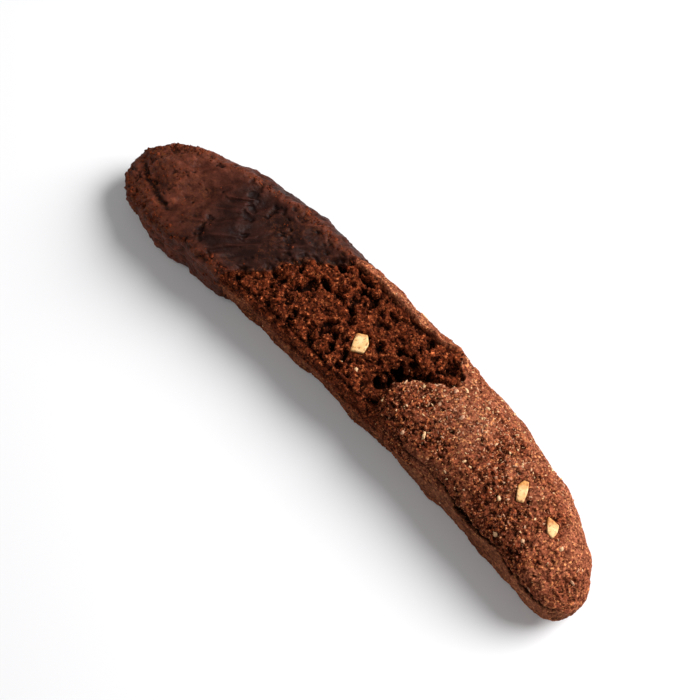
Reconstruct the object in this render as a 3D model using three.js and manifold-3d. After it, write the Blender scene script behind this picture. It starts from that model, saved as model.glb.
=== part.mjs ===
// A whole chocolate biscotto: a long slice cut slantwise from a twice-baked loaf, lying on its lower cut face.
// +X runs along the slice, from the end dipped in chocolate to the plain end. +Y runs from the loaf's flat
// bottom crust to its domed top crust. +Z is up. Sizes are in millimetres, and the origin is the middle of the
// footprint. The upper face is knife-cut crumb as far as a broken lip, where the loaf's own end crust begins.
import * as THREE from "three";
import { ConvexGeometry } from "three/addons/geometries/ConvexGeometry.js";
import { mergeVertices } from "three/addons/utils/BufferGeometryUtils.js";
import Module from "manifold-3d";

const wasm = await Module();
wasm.setup();

// The slice as a whole.
const LENGTH = 150;
const HALF = LENGTH / 2;
const CUT_Z = 14.6; // height of the knife-cut upper face
const CRUST_Z = 17; // top of the domed crust beyond the lip
const WAIST_Z = 7; // level of the widest outline, and of both tips
const DOME_PEAK = 16.1; // furthest reach of the domed crust in Y
const PEAK_T = -0.16; // where along the slice that is, as a share of HALF
const BASE_Y = -11.8; // flat bottom crust of the loaf at mid-length
const BASE_ARCH = 4.2; // how much further it stands out at the two ends
const BASE_SLEW = 0.9;
const TIP_Y = { dipped: -4.4, plain: -8.9 };

// The upper face.
const LIP_AT = 15.5; // mean place of the broken lip along the slice
const LIP_LINE = [ // y, x
  [-15, 13], [-8, 9.8], [-4, 10.6], [-0.4, 12.8], [2.9, 17.2], [5.3, 19.6], [8, 20.5], [11.2, 18.2], [14, 16],
];
const LIP_WIDTH = { dome: 1.6, base: 13 };
const CRATER = { depth: 5.4, back: 2.4, spread: 3.4, shallow: 0.45 }; // shallower by that share beside the dome
const RIM_INSET = 3; // the cut face stops this far inside the widest outline
const BEVEL = { x: -73, y: 0, slopeX: 0.447, slopeY: 0.894, fall: 0.62 }; // baked slope at the dipped end
const SHELF_Z = 9.4; // top of the smooth bottom crust, where the dome starts
const FLANK_Z = 7.6; // the same level on the domed side
const CRACKS = [
  { from: 24, to: 35, deep: 1.1, wide: 1, seed: 9 },
  { from: 39, to: 51, deep: 2.3, wide: 2.4, seed: 4 },
  { from: 51.5, to: 65, deep: 1.7, wide: 1.5, seed: 12 },
];
const CRACK_Z = 13.4; // level of the cracks at the first one's start, and how far they fall in the next 30 mm
const CRACK_FALL = 1.8;

// The chocolate, thicker in a foot along the bottom crust.
const GAP = 0.3;
const COAT = 0.85;
const COAT_FOOT = { x: -54, y: -9, reach: 8, thick: 0.9 };
const FLOOR_GAP = 0.3;
const DIP = { x: -35.7, y: -10, slant: 0.8, wave: 1.1 };

// Chopped nuts: how far a knife-cut face stands out, and the corners of three common outlines.
const NUT_PROUD = 0.4;
const CHOPS = {
  wedge: [[-0.9, 2.7], [2, 2.2], [2.3, -0.3], [0.9, -2.8], [-2.4, -1.9]],
  sliver: [[-1, 1.7], [0.6, 2.9], [1.7, 2.3], [1.2, -0.4], [0.2, -2.8], [-1.6, -2.3]],
  kite: [[-1, 2.6], [1.5, 0.4], [1, -1.5], [-0.2, -2.8], [-1.4, -1.5], [-1.4, 1.4]],
};

// How finely the surfaces are divided.
const STATIONS = 74;
const SIDE_STEPS = { under: 13, base: 8, top: 15, dome: 9 };
const COAT_RINGS = 22;
const CORNER = 9; // exponent of the rounded section: larger is squarer
const KNIFE_FLAT = 1.035; // the section is this much too tall, then cut level above and below

const clamp01 = (v) => Math.min(1, Math.max(0, v));
const smooth = (from, to, v) => {
  const s = clamp01((v - from) / (to - from));
  return s * s * (3 - 2 * s);
};
const mix = (a, b, s) => a + (b - a) * s;

// A repeatable draw of numbers from 0 to 1.
function drawFrom(seed) {
  let state = seed;
  return () => {
    state = (state + 0x6d2b79f5) | 0;
    let v = Math.imul(state ^ (state >>> 15), 1 | state);
    v = (v + Math.imul(v ^ (v >>> 7), 61 | v)) ^ v;
    return ((v ^ (v >>> 14)) >>> 0) / 4294967296;
  };
}

// Slow swells in the dough: three crossed waves, each [amplitude, x, y and z radians per mm, phase].
const SWELLS = [
  [0.28, 0.31, 0.12, 0.2, 0.4],
  [0.2, -0.23, 0.47, 0.31, 2.1],
  [0.16, 0.72, -0.35, 0.55, 4.4],
];
const swell = (x, y, z) =>
  SWELLS.reduce((sum, [a, kx, ky, kz, phase]) => sum + a * Math.sin(kx * x + ky * y + kz * z + phase), 0);

// Outline seen from above: the bottom crust's edge and the dome's edge at share t of the half length.
function baseEdge(t) {
  const tip = mix(TIP_Y.dipped, TIP_Y.plain, (t + 1) / 2);
  const flat = BASE_Y - BASE_SLEW * t - BASE_ARCH * t * t;
  return tip + (flat - tip) * Math.sqrt(1 - Math.abs(t) ** (t < 0 ? 10 : 24));
}

function domeEdge(t) {
  const dipped = t < PEAK_T;
  const s = dipped ? (PEAK_T - t) / (1 + PEAK_T) : (t - PEAK_T) / (1 - PEAK_T);
  const tip = dipped ? TIP_Y.dipped : TIP_Y.plain;
  return tip + (DOME_PEAK - tip) * Math.sqrt(Math.max(0, 1 - s ** (dipped ? 2.65 : 2.45)));
}

// Where the broken lip crosses a given y: its knots joined by eased steps.
function lipAt(y) {
  const next = LIP_LINE.findIndex(([knot]) => knot > y);
  if (next <= 0) return next === 0 ? LIP_LINE[0][1] : LIP_LINE[LIP_LINE.length - 1][1];
  const [y0, x0] = LIP_LINE[next - 1];
  const [y1, x1] = LIP_LINE[next];
  return mix(x0, x1, mix((y - y0) / (y1 - y0), smooth(y0, y1, y), 0.5));
}

// How far a place lies beyond the dip line: negative is coated.
const pastDip = (x, y) => x - DIP.x - DIP.slant * (y - DIP.y);

// Height of the crumb side: a flat cut, a baked slope at the dipped end and a crater before the lip.
function cutHeight(x, y) {
  const beyondRidge = -(x - BEVEL.x) * BEVEL.slopeX - (y - BEVEL.y) * BEVEL.slopeY;
  const slope = BEVEL.fall * (beyondRidge + Math.hypot(beyondRidge, 2.5)) / 2;
  const crater = CRATER.depth * Math.exp(-(((x - lipAt(y) + CRATER.back) / CRATER.spread) ** 2));
  return CUT_Z - slope - crater * smooth(-10, -4, y) * (1 - CRATER.shallow * smooth(3.5, 7, y));
}

// Height of the crust side: a dome that leaves the bottom crust at SHELF_Z and the far flank at FLANK_Z.
function crustHeight(across) {
  const onBase = across < 0;
  const edge = onBase ? SHELF_Z : FLANK_Z;
  const round = onBase ? (1 - (-across) ** 3.4) ** (1 / 2.3) : Math.sqrt(1 - across ** 2.5);
  return edge + (CRUST_Z - edge) * round;
}

function topHeight(x, y, across) {
  const edge = mix(LIP_WIDTH.dome, LIP_WIDTH.base, smooth(-3, -12, y)) / 2;
  return mix(cutHeight(x, y), crustHeight(across), smooth(-edge, edge, x - lipAt(y)));
}

// The rise of the upper side above WAIST_Z fades to nothing at the tips.
const riseShare = (t) => Math.sqrt(1 - Math.abs(t) ** (t > 0 ? 7 : 12));

function upperFace(x, y) {
  const t = x / HALF;
  const low = baseEdge(t);
  const across = (2 * y - low - domeEdge(t)) / (domeEdge(t) - low);
  return WAIST_Z + (topHeight(x, y, across) - WAIST_Z) * riseShare(t);
}

// Sides of the section in turn, as a share of the way round: underside, bottom crust, upper face, dome.
const SIDES = [
  [SIDE_STEPS.under, (f) => [1 - 2 * f, -1]],
  [SIDE_STEPS.base, (f) => [-1, -1 + 2 * f]],
  [SIDE_STEPS.top, (f) => [-1 + 2 * f, 1]],
  [SIDE_STEPS.dome, (f) => [1, 1 - 2 * f]],
];
const ROUND = SIDES.flatMap(([steps, at]) => Array.from({ length: steps }, (_, i) => at(i / steps)));

// The y that lies at share p of the way from the middle of the outline to its edge.
function acrossAt(x, p) {
  const low = baseEdge(x / HALF);
  const high = domeEdge(x / HALF);
  return (low + high) / 2 + ((high - low) / 2) * p;
}

// One point of the dough's surface, at share t along and corner-rounded square place (p, q) round the section.
// grow moves it outwards, for the chocolate. Near the broken lip the stations bend to run along it.
function surfacePoint(t, [p0, q0], grow = 0) {
  const reach = Math.max(1e-9, (Math.abs(p0) ** CORNER + Math.abs(q0) ** CORNER) ** (1 / CORNER));
  const p = p0 / reach;
  const q = q0 / reach;
  let x = t * HALF;
  let y = acrossAt(x, p);
  for (let pass = 0; pass < 3 && q > 0; pass += 1) {
    x = t * HALF + (lipAt(y) - LIP_AT) * q * q * (1 - smooth(3, 32, Math.abs(t * HALF - LIP_AT)));
    y = acrossAt(x, p);
  }
  const lift = smooth(10, 4, pastDip(x, y)) * (FLOOR_GAP + COAT + GAP);
  const level = Math.min(1, Math.abs(q) * KNIFE_FLAT);
  let z = q < 0 ? WAIST_Z - (WAIST_Z - lift) * level : WAIST_Z;
  if (q >= 0) {
    z += (topHeight(x, y, p) - WAIST_Z) * riseShare(t) * level;
    const cut = 1 - smooth(-5, 1, x - lipAt(y));
    y -= Math.max(0, p) * q * q * RIM_INSET * cut * Math.sqrt(1 - t ** 8);
  } else {
    z = mix(WAIST_Z, z, Math.sqrt(1 - Math.abs(t) ** 18));
  }
  const out = new THREE.Vector3(
    Math.sign(t) * Math.abs(t) ** 14,
    Math.sign(p) * Math.abs(p) ** (CORNER - 1),
    Math.sign(q) * Math.abs(q) ** (CORNER - 1),
  ).normalize();
  const flatFoot = q < 0 ? 1 - smooth(0.75, 0.96, -q) : 1;
  const bump = swell(x, y, z) * flatFoot * (1 - Math.abs(t) ** 40);
  return new THREE.Vector3(x, y, z).addScaledVector(out, bump + grow);
}

// Shares along the length, spaced evenly over the surface, with one on each side of the lip.
function stationsAlong(count) {
  const fine = Array.from({ length: 4001 }, (_, i) => Math.sin((i / 4000 - 0.5) * Math.PI));
  const arc = [0];
  fine.slice(1).forEach((t, i) => {
    const before = fine[i];
    const wider = (domeEdge(t) - baseEdge(t) - domeEdge(before) + baseEdge(before)) / 2;
    arc.push(arc[i] + Math.hypot((t - before) * HALF, wider));
  });
  const total = arc[arc.length - 1];
  const reached = (k) => arc.findIndex((a) => a >= (total * k) / count - 1e-9);
  const even = Array.from({ length: count + 1 }, (_, k) => fine[reached(k)]);
  const lip = [LIP_AT - LIP_WIDTH.dome / 2, LIP_AT + LIP_WIDTH.dome / 2].map((x) => x / HALF);
  const clear = even.filter((t) => lip.every((edge) => Math.abs(t - edge) * HALF > 0.9));
  return [...clear, ...lip].sort((a, b) => a - b);
}

// Rings of points closed round the section, each clockwise seen from the last one's side, with a point at each end.
function tubeGeometry(rings, firstTip, lastTip) {
  const round = rings[0].length;
  const points = [firstTip, ...rings.flat(), lastTip];
  const last = points.length - 1;
  const index = [];
  for (let k = 0; k < round; k += 1) {
    const next = (k + 1) % round;
    index.push(0, 1 + k, 1 + next);
    for (let r = 0; r + 1 < rings.length; r += 1) {
      const here = 1 + r * round;
      const there = here + round;
      index.push(here + k, there + k, here + next);
      index.push(here + next, there + k, there + next);
    }
    index.push(last, last - round + next, last - round + k);
  }
  const geometry = new THREE.BufferGeometry().setFromPoints(points);
  geometry.setIndex(index);
  return geometry;
}

function solidOf(geometry) {
  const bare = geometry.clone();
  bare.deleteAttribute("normal");
  bare.deleteAttribute("uv");
  const merged = mergeVertices(bare, 1e-4);
  return new wasm.Manifold(
    new wasm.Mesh({
      numProp: 3,
      vertProperties: new Float32Array(merged.attributes.position.array),
      triVerts: new Uint32Array(merged.index.array),
    }),
  );
}

function geometryOf(solid) {
  const mesh = solid.getMesh();
  const geometry = new THREE.BufferGeometry();
  geometry.setAttribute("position", new THREE.BufferAttribute(mesh.vertProperties.slice(), 3));
  geometry.setIndex(new THREE.BufferAttribute(mesh.triVerts.slice(), 1));
  geometry.computeVertexNormals();
  return geometry;
}

// The baked dough before anything is cut from it.
function doughSolid() {
  const shares = stationsAlong(STATIONS);
  const rings = shares.slice(1, -1).map((t) => ROUND.map((place) => surfacePoint(t, place)));
  return solidOf(tubeGeometry(rings, surfacePoint(-1, [0, 0]), surfacePoint(1, [0, 0])));
}

// Pits in the cut crumb, as squashed eight-sided lumps to be cut away. Each keeps clear of the nuts.
function pits(count, seed, spot) {
  const draw = drawFrom(seed);
  const made = [];
  while (made.length < count) {
    const place = spot(draw);
    const size = mix(0.9, 2.1, draw() ** 2);
    const pit = new THREE.IcosahedronGeometry(1, 0);
    pit.rotateX(draw() * Math.PI);
    pit.scale(size * mix(0.8, 1.9, draw()), size * mix(0.7, 1.1, draw()), size * mix(0.9, 1.4, draw()));
    pit.rotateZ(draw() * Math.PI);
    pit.translate(place.x, place.y, place.z);
    if (NUTS.every(({ at }) => place.distanceTo(at) > NUT_CLEAR + size * 2.2)) made.push(solidOf(pit));
  }
  return made;
}

// A crack between the bottom crust and the dome: a thin wavering wedge driven in from above and outside.
function crackSolid({ from, to, deep, wide, seed }) {
  const draw = drawFrom(seed);
  const steps = Math.round((to - from) / 2.2);
  const inward = new THREE.Vector3(0, 0.5, -0.866);
  const across = new THREE.Vector3(0, 0.866, 0.5);
  const rings = [];
  for (let i = 0; i <= steps; i += 1) {
    const x = mix(from, to, i / steps);
    const z = CRACK_Z - (CRACK_FALL * (x - CRACKS[0].from)) / 30;
    const middle = new THREE.Vector3(x, baseEdge(x / HALF) + 0.7 + (draw() - 0.5) * 0.5, z);
    const swellAlong = Math.sin((Math.PI * (i + 0.5)) / (steps + 1));
    const half = (wide / 2) * swellAlong * mix(0.6, 1.25, draw());
    const mouth = middle.clone().addScaledVector(inward, -2.5);
    rings.push([
      middle.clone().addScaledVector(inward, deep * (0.4 + 0.6 * swellAlong)),
      mouth.clone().addScaledVector(across, -half * 1.6),
      mouth.clone().addScaledVector(across, half * 1.6),
    ]);
  }
  const centre = (ring) => new THREE.Vector3().add(ring[0]).add(ring[1]).add(ring[2]).divideScalar(3);
  return solidOf(tubeGeometry(rings, centre(rings[0]), centre(rings[rings.length - 1])));
}

// The direction straight out of the upper face.
function upperNormal(x, y) {
  const step = 0.8;
  const fallX = upperFace(x - step, y) - upperFace(x + step, y);
  const fallY = upperFace(x, y - step) - upperFace(x, y + step);
  return new THREE.Vector3(fallX, fallY, 2 * step).normalize();
}

// Where a nut is set: in the upper face, the underside or the dome. Its cut face looks straight out.
function inTop(x, y, thick) {
  const out = upperNormal(x, y);
  return { out, at: new THREE.Vector3(x, y, upperFace(x, y)).addScaledVector(out, NUT_PROUD - thick / 2) };
}

function inUnder(x, y, thick) {
  return { out: new THREE.Vector3(0, 0, -1), at: new THREE.Vector3(x, y, GAP + thick / 2) };
}

function inDome(x, z, thick) {
  const out = new THREE.Vector3(0, 1, 0);
  return { out, at: new THREE.Vector3(x, domeEdge(x / HALF) + NUT_PROUD - thick / 2, z) };
}

// Chopped nuts that show: where each is set, its outline and scale, its thickness, its turn and its shape's seed.
const NUTS = [
  { name: "nut_top_1", ...inTop(-1.6, -1.5, 3.4), chop: "wedge", scale: 1, thick: 3.4, turn: 0.79, seed: 3 },
  { name: "nut_top_2", ...inTop(49.3, -1.4, 2.8), chop: "sliver", scale: 1, thick: 2.8, turn: 0.79, seed: 8 },
  { name: "nut_top_3", ...inTop(59.5, -2.3, 2.8), chop: "kite", scale: 1, thick: 2.8, turn: 0.79, seed: 5 },
  { name: "nut_under_1", ...inUnder(-8, 4, 3.4), chop: "wedge", scale: 1.1, thick: 3.4, turn: 0.3, seed: 21 },
  { name: "nut_under_2", ...inUnder(10, -4.5, 3.2), chop: "kite", scale: 1, thick: 3.2, turn: 1.9, seed: 13 },
  { name: "nut_under_3", ...inUnder(30, 5, 3.4), chop: "sliver", scale: 1.15, thick: 3.4, turn: 2.5, seed: 34 },
  { name: "nut_under_4", ...inUnder(52, -5, 3), chop: "wedge", scale: 0.8, thick: 3, turn: 0.9, seed: 55 },
  { name: "nut_dome_1", ...inDome(36, 6.6, 3), chop: "kite", scale: 0.85, thick: 3, turn: 2.3, seed: 27 },
  { name: "nut_dome_2", ...inDome(2, 6, 3), chop: "wedge", scale: 0.8, thick: 3, turn: 0.5, seed: 41 },
];
const NUT_CLEAR = 2.9; // pits keep this far from a nut's middle, besides their own reach

// A chopped nut: the hull of its outline and of the same outline a little smaller and lower, each corner pulled
// in by a drawn amount. For its pocket it is scaled up until every face has moved out by the margin.
function nutGeometry({ at, out, chop, scale, thick, turn, seed }, margin = 0) {
  const draw = drawFrom(seed);
  const outline = CHOPS[chop].map(([x, y]) => new THREE.Vector2(x, y).multiplyScalar(scale));
  const corners = [];
  for (const [side, taper] of [[1, 1], [-1, 0.88]]) {
    for (const corner of outline) {
      const pull = taper * mix(0.93, 1, draw());
      corners.push(new THREE.Vector3(corner.x * pull, corner.y * pull, (side * thick) / 2));
    }
  }
  const nearest = Math.min(...outline.map((corner, i) => {
    const edge = outline[(i + 1) % outline.length].clone().sub(corner);
    return Math.abs(corner.cross(edge)) / edge.length();
  }));
  const wider = 1 + margin / (0.85 * nearest);
  const geometry = new ConvexGeometry(corners);
  geometry.scale(wider, wider, 1 + (2 * margin) / thick);
  geometry.rotateZ(turn);
  geometry.applyQuaternion(new THREE.Quaternion().setFromUnitVectors(new THREE.Vector3(0, 0, 1), out));
  geometry.translate(at.x, at.y, at.z);
  return geometry;
}

// The chocolate: a skin round the dipped end, closed at the tip and open at the slanting dip line.
function dipSolid() {
  const shares = stationsAlong(STATIONS);
  const shareAt = (station) => {
    const whole = Math.floor(station);
    return mix(shares[whole], shares[whole + 1], station - whole);
  };
  const lastStation = ROUND.map((place, k) => {
    const { y, z } = surfacePoint(-0.4, place);
    const wave = DIP.wave * (Math.sin(k * 0.9 + z * 0.2) + 0.6 * Math.sin(k * 2.3));
    const edge = (DIP.x + DIP.slant * (y - DIP.y) + wave) / HALF;
    const after = shares.findIndex((share) => share > edge);
    return after - (shares[after] - edge) / (shares[after] - shares[after - 1]);
  });
  const skin = (s, thickness) =>
    ROUND.map((place, k) => {
      const t = shareAt(mix(1, lastStation[k], s));
      const { x, y, z } = surfacePoint(t, place);
      const along = Math.exp(-(((x - COAT_FOOT.x) / COAT_FOOT.reach) ** 4));
      const foot = COAT_FOOT.thick * along * smooth(COAT_FOOT.y, COAT_FOOT.y - 2, y) * smooth(1, 5, z);
      const full = thickness + (thickness > 0 ? foot : 0);
      return surfacePoint(t, place, GAP + full * (1 - 0.55 * smooth(0.85, 1, s)));
    });
  const outer = Array.from({ length: COAT_RINGS + 1 }, (_, r) => skin(r / COAT_RINGS, COAT));
  const inner = outer.map((_, r) => skin(1 - r / COAT_RINGS, 0));
  const tip = (grow) => surfacePoint(-1, [0, 0]).add(new THREE.Vector3(-grow, 0, 0));
  return solidOf(tubeGeometry([...outer, ...inner], tip(GAP + COAT), tip(GAP)));
}

const underSpot = (draw) =>
  new THREE.Vector3(mix(-18, 66, draw()), mix(-10, 12, draw()), mix(-0.7, -0.2, draw()));
const topSpot = (draw) => {
  const y = mix(-9, 9.5, draw());
  const x = mix(-14, lipAt(y) - 3, draw());
  return new THREE.Vector3(x, y, cutHeight(x, y) + mix(0.3, 0.8, draw()));
};

function biscuitSolid() {
  const cutters = [
    ...pits(34, 17, topSpot),
    ...pits(22, 29, underSpot),
    ...CRACKS.map(crackSolid),
    ...NUTS.map((nut) => solidOf(nutGeometry(nut, GAP + 0.12))),
  ];
  const cut = wasm.Manifold.difference([doughSolid(), ...cutters]);
  return cut.decompose().sort((a, b) => b.volume() - a.volume())[0];
}

const MATERIALS = {
  biscuit: new THREE.MeshStandardMaterial({ color: 0x6e3b2a, roughness: 0.95, metalness: 0 }),
  chocolate: new THREE.MeshStandardMaterial({ color: 0x43241c, roughness: 0.45, metalness: 0 }),
  nut: new THREE.MeshStandardMaterial({ color: 0xe8c68c, roughness: 0.7, metalness: 0 }),
};

function named(name, geometry, material) {
  const mesh = new THREE.Mesh(geometry, material);
  mesh.name = name;
  return mesh;
}

const biscotto = new THREE.Group();
biscotto.add(named("biscuit", geometryOf(biscuitSolid()), MATERIALS.biscuit));
biscotto.add(named("chocolate_dip", geometryOf(dipSolid()), MATERIALS.chocolate));
NUTS.forEach((nut) => biscotto.add(named(nut.name, nutGeometry(nut), MATERIALS.nut)));

// The origin goes to the middle of the footprint, on the plane the slice rests on.
const extent = new THREE.Box3().setFromObject(biscotto);
const middle = extent.getCenter(new THREE.Vector3());
biscotto.position.set(-middle.x, -middle.y, -extent.min.z);

export default biscotto;
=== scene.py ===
import itertools
import math

import bpy
import numpy as np
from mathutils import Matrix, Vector


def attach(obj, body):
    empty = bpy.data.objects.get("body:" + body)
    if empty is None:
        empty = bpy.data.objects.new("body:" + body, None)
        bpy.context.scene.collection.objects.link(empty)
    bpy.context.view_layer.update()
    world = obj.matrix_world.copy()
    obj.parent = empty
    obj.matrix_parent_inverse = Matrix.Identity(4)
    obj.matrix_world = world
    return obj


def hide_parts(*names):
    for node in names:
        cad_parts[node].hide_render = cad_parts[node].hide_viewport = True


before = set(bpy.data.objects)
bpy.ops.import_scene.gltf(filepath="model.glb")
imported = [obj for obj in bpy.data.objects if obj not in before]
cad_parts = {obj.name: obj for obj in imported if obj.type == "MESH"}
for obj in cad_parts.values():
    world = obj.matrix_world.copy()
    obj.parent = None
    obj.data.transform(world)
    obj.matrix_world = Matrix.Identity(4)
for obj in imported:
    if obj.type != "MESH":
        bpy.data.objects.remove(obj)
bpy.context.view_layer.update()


# --------------------------------------------------------------------------------------------------
# The baked slice. A long slanting slice of cocoa dough from a low domed loaf, cut while warm and then baked
# again. It lies on its lower cut face. The upper face is open crumb as far as a broken lip. Beyond it the
# rough domed crust of the loaf's own end is left whole, over the smooth flat bottom crust.
MILLIMETRE = 0.001
METRE = 1000
HALF_LENGTH = 75.0
CUT_LEVEL = 14.6
CRUST_LEVEL = 17.0
WAIST_LEVEL = 7.0
SHELF_LEVEL = 9.4
FLANK_LEVEL = 7.6
TIP_Y = (-4.4, -8.9)
BASE_ARCH = (-11.8, -0.9, -4.2)
BASE_POWERS = (10, 24)
PEAK_SHARE = -0.16
PEAK_Y = 16.1
DOME_POWERS = (2.65, 2.45)
TOP_POWERS = (7, 12)
FOOT_POWER = 18
TIP_SLOPE = 0.62
TIP_SLOPE_X = -73
TIP_SLOPE_TOWARD = (0.447, 0.894)
CRATER_DEPTH = 5.4
CRATER_MIDDLE = -2.4
CRATER_REACH = 3.4
LIP_PLACE = 15.5
LIP_Y = np.array([-15, -8, -4, -0.4, 2.9, 5.3, 8, 11.2, 14])
LIP_X = np.array([13, 9.8, 10.6, 12.8, 17.2, 19.6, 20.5, 18.2, 16])
LIP_STEP = (1.2, 13)
SHOULDER_CUT = 3
CRACK_START = 24.0
CRACK_END = 72
CRACK_LEVEL = 13.2
CRACK_FALL = 0.06
CRACK_INWARD = np.array([0, 0.5, -0.866])
DIP_EDGE = -35.7
DIP_SLANT = 0.8
DIP_PIVOT_Y = -10
DIP_LIFT = 1.45
DIP_OVERLAP = 0.9
COAT_BED = 0.7
CORNER = 9
KNIFE_FLAT = 1.035
MIDDLE_SHIFT = np.array([0.575, -0.634, 0])
STATIONS = 426
STEPS_ROUND = (28, 56, 106, 42)
SWELLS = ((0.28, 0.31, 0.12, 0.2, 0.4), (0.2, -0.23, 0.47, 0.31, 2.1), (0.16, 0.72, -0.35, 0.55, 4.4))


def eased(start, end, value):
    """From 0 at start to 1 at end along an S curve: s * s * (3 - 2s), with s held between 0 and 1."""
    s = np.clip((value - start) / (end - start), 0, 1)
    return s * s * (3 - 2 * s)


def between(low, high, share):
    """low + (high - low) * share."""
    return low + (high - low) * share


def bell(value, middle, width, power=2):
    """exp(-((value - middle) / width)^power): a bell curve, with a level top where power is above 2."""
    return np.exp(-(((value - middle) / width) ** power))


def draw_for(cells, seed):
    """A repeatable number from 0 to 1 per lattice cell: its indices times large primes, the bits mixed."""
    key = cells[..., 0] * 73856093 ^ cells[..., 1] * 19349663 ^ cells[..., 2] * 83492791 ^ seed * 2654435761
    key = key & 0xFFFFFFFF
    for _ in range(2):
        key = ((key ^ (key >> 16)) * 0x45D9F3B) & 0xFFFFFFFF
    return ((key ^ (key >> 16)) & 0xFFFFFF) / 0xFFFFFF


def lumps(points, size, seed):
    """Rolling dough, -1 to 1, with humps `size` apart: a draw at each corner of a cubic lattice, blended by
    eased shares. Each pattern has a seed of its own."""
    scaled = points / size
    cell = np.floor(scaled).astype(np.int64)
    share = scaled - cell
    share = share * share * (3 - 2 * share)
    total = 0
    for corner in itertools.product((0, 1), repeat=3):
        weight = np.prod(np.where(corner, share, 1 - share), axis=-1)
        total = total + weight * draw_for(cell + np.array(corner), seed)
    return 2 * total - 1


def rough(points, size, seed):
    """Rough dough, about -1 to 1: lumps of `size`, half and a quarter, each half as high as the last."""
    return sum(lumps(points, size / 2**k, seed + k) / 2**k for k in range(3)) / 1.4


def torn(points, size, seed, reach):
    """The same points pushed about by up to reach, so that a pattern read there comes out ragged."""
    return points + reach * np.stack([lumps(points, size, seed + 50 * k) for k in range(3)], axis=-1)


def evened(grid, along, across):
    """A grid's running mean over 2 * along + 1 rings and 2 * across + 1 steps round, taken twice."""
    for _ in range(2):
        for axis, reach in ((0, along), (1, across)):
            pads = [(reach, reach) if k == axis else (0, 0) for k in (0, 1)]
            wide = np.pad(grid, pads, mode="wrap" if axis else "edge")
            total = np.cumsum(np.insert(wide, 0, 0, axis=axis), axis=axis)
            before = np.take(total, range(grid.shape[axis]), axis=axis)
            after = np.split(total, [2 * reach + 1], axis=axis)[1]
            grid = (after - before) / (2 * reach + 1)
    return grid


def bottom_edge(x):
    """The bottom crust's outline: a shallow arch a + b t + c t^2, brought to the tip by (1 - |t|^n)^0.5."""
    t = np.clip(x / HALF_LENGTH, -1, 1)
    tip = between(*TIP_Y, (t + 1) / 2)
    a, b, c = BASE_ARCH
    arch = a + b * t + c * t * t
    return tip + (arch - tip) * np.sqrt(1 - np.abs(t) ** np.where(t < 0, *BASE_POWERS))


def dome_edge(x):
    """The domed crust's outline, on each side of the peak: tip + (peak - tip) * (1 - |s|^n)^0.5."""
    t = np.clip(x / HALF_LENGTH, -1, 1)
    dipped = t < PEAK_SHARE
    s = np.where(dipped, (PEAK_SHARE - t) / (1 + PEAK_SHARE), (t - PEAK_SHARE) / (1 - PEAK_SHARE))
    tip = np.where(dipped, TIP_Y[0], TIP_Y[1])
    return tip + (PEAK_Y - tip) * np.sqrt(np.maximum(0, 1 - np.abs(s) ** np.where(dipped, *DOME_POWERS)))


def lip_x(y):
    """Where the broken lip crosses y: its corners joined by steps that are half straight and half eased."""
    k = np.clip(np.searchsorted(LIP_Y, y, side="right"), 1, len(LIP_Y) - 1)
    s = np.clip((y - LIP_Y[k - 1]) / (LIP_Y[k] - LIP_Y[k - 1]), 0, 1)
    return between(LIP_X[k - 1], LIP_X[k], between(s, s * s * (3 - 2 * s), 0.5))


def crumb_level(x, y):
    """The knife cut: level, less a slope at the dipped end, k * (d + hypot(d, 2.5)) / 2 at d past its edge,
    and less a crater of bell-curve section before the lip, which runs out at both ends of the lip."""
    past = -(x - TIP_SLOPE_X) * TIP_SLOPE_TOWARD[0] - y * TIP_SLOPE_TOWARD[1]
    slope = TIP_SLOPE * (past + np.hypot(past, 2.5)) / 2
    crater = CRATER_DEPTH * bell(x - lip_x(y), CRATER_MIDDLE, CRATER_REACH)
    return CUT_LEVEL - slope - crater * eased(-10, -4, y) * (1 - 0.95 * eased(3.2, 6.5, y))


def crust_level(across):
    """The domed crust: a quarter superellipse from the shelf to the top, and one down to the far flank."""
    near = SHELF_LEVEL + (CRUST_LEVEL - SHELF_LEVEL) * (1 - np.maximum(0, -across) ** 3.4) ** (1 / 2.3)
    far = FLANK_LEVEL + (CRUST_LEVEL - FLANK_LEVEL) * np.sqrt(1 - np.maximum(0, across) ** 2.5)
    return np.where(across < 0, near, far)


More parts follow.
